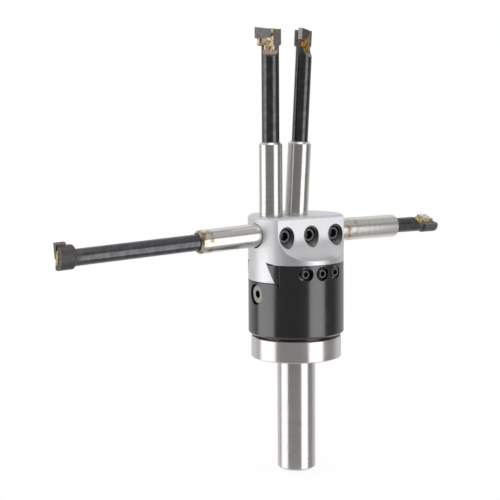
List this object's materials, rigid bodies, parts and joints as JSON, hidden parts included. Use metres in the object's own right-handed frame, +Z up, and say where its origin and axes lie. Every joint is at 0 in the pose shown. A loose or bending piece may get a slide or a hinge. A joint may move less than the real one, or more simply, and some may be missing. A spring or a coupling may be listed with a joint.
{
  "type": "boring head",
  "caption": "Adjustable boring head on a straight shank, with a dovetail tool slide moved by a dial screw and brazed carbide boring bars set upright and sideways.",
  "frame": {"origin": "centre of the flange's lower face, where the straight shank meets it", "axes": "+Z up the spindle axis to the tool end, +X along the slide's travel away from the dial, -Y towards the flat front with the clamp screws"},
  "size_m": [0.2281, 0.05, 0.2311],
  "materials": {
    "ground_steel": "ground and turned bare steel",
    "black_oxide_steel": "chemical black oxide, lightly oiled",
    "satin_chrome": "satin hard chrome on milled and turned steel",
    "black_screw_steel": "black oxide set screws with bright edges",
    "dial_steel": "turned bare steel",
    "bearing_bronze": "turned bronze",
    "bar_steel": "ground shank, scaled dark neck",
    "carbide": "ground tungsten carbide",
    "braze_alloy": "flame brazed brass, unground"
  },
  "bodies": {
    "head": {"arbor": "ground_steel", "head_body": "black_oxide_steel", "gib": "black_oxide_steel"},
    "gib_screw_left": {"gib_screw_left": "black_screw_steel"},
    "gib_lock_screw": {"gib_lock_screw": "black_screw_steel"},
    "gib_screw_right": {"gib_screw_right": "black_screw_steel"},
    "lead_screw": {"lead_screw": "dial_steel", "thrust_collar": "dial_steel", "collar_pin": "dial_steel"},
    "slide": {"tool_slide": "satin_chrome", "lead_nut": "bearing_bronze"},
    "clamp_screw_left": {"clamp_screw_left": "black_screw_steel"},
    "clamp_screw_centre": {"clamp_screw_centre": "black_screw_steel"},
    "clamp_screw_right": {"clamp_screw_right": "black_screw_steel"},
    "bar_upright_left": {"boring_bar_upright_left": "bar_steel", "carbide_tip_upright_left": "carbide", "braze_upright_left": "braze_alloy"},
    "bar_upright_centre": {"boring_bar_upright_centre": "bar_steel", "carbide_tip_upright_centre": "carbide", "braze_upright_centre": "braze_alloy"},
    "bar_side_left": {"boring_bar_side_left": "bar_steel", "carbide_tip_side_left": "carbide", "braze_side_left": "braze_alloy"},
    "bar_side_right": {"boring_bar_side_right": "bar_steel", "carbide_tip_side_right": "carbide", "braze_side_right": "braze_alloy"}
  },
  "joints": [
    {"name": "slide_travel", "type": "slide", "parent": "head", "child": "slide", "axis": [-1, 0, 0], "range_m": [0, 0.013]},
    {"name": "lead_screw_turn", "type": "hinge", "parent": "head", "child": "lead_screw", "pos_m": [-0.0236, 0, 0.0345], "axis": [1, 0, 0], "range_deg": [0, 4680]},
    {"name": "gib_screw_left_turn", "type": "hinge", "parent": "head", "child": "gib_screw_left", "pos_m": [-0.0089, -0.02, 0.04605], "axis": [0, -1, 0], "range_deg": [0, 180]},
    {"name": "gib_lock_screw_turn", "type": "hinge", "parent": "head", "child": "gib_lock_screw", "pos_m": [0, -0.02, 0.04605], "axis": [0, -1, 0], "range_deg": [0, 360]},
    {"name": "gib_screw_right_turn", "type": "hinge", "parent": "head", "child": "gib_screw_right", "pos_m": [0.0089, -0.02, 0.04605], "axis": [0, -1, 0], "range_deg": [0, 180]},
    {"name": "clamp_screw_left_turn", "type": "hinge", "parent": "slide", "child": "clamp_screw_left", "pos_m": [-0.015, -0.012, 0.06495], "axis": [0, -1, 0], "range_deg": [0, 720]},
    {"name": "clamp_screw_centre_turn", "type": "hinge", "parent": "slide", "child": "clamp_screw_centre", "pos_m": [0, -0.012, 0.06495], "axis": [0, -1, 0], "range_deg": [0, 720]},
    {"name": "clamp_screw_right_turn", "type": "hinge", "parent": "slide", "child": "clamp_screw_right", "pos_m": [0.015, -0.012, 0.06495], "axis": [0, -1, 0], "range_deg": [0, 720]},
    {"name": "upright_left_draw", "type": "slide", "parent": "slide", "child": "bar_upright_left", "axis": [0, 0, 1], "range_m": [0, 0.012]},
    {"name": "upright_centre_draw", "type": "slide", "parent": "slide", "child": "bar_upright_centre", "axis": [0.0422, -0.0259, 0.9988], "range_m": [0, 0.012]},
    {"name": "side_left_draw", "type": "slide", "parent": "slide", "child": "bar_side_left", "axis": [-0.9991, 0, -0.0419], "range_m": [0, 0.0037]},
    {"name": "side_right_draw", "type": "slide", "parent": "slide", "child": "bar_side_right", "axis": [1, 0, 0], "range_m": [0, 0.016]}
  ],
  "couplings": [
    {"joint": "lead_screw_turn", "follows": "slide_travel", "rad_per_m": 6283.2}
  ]
}
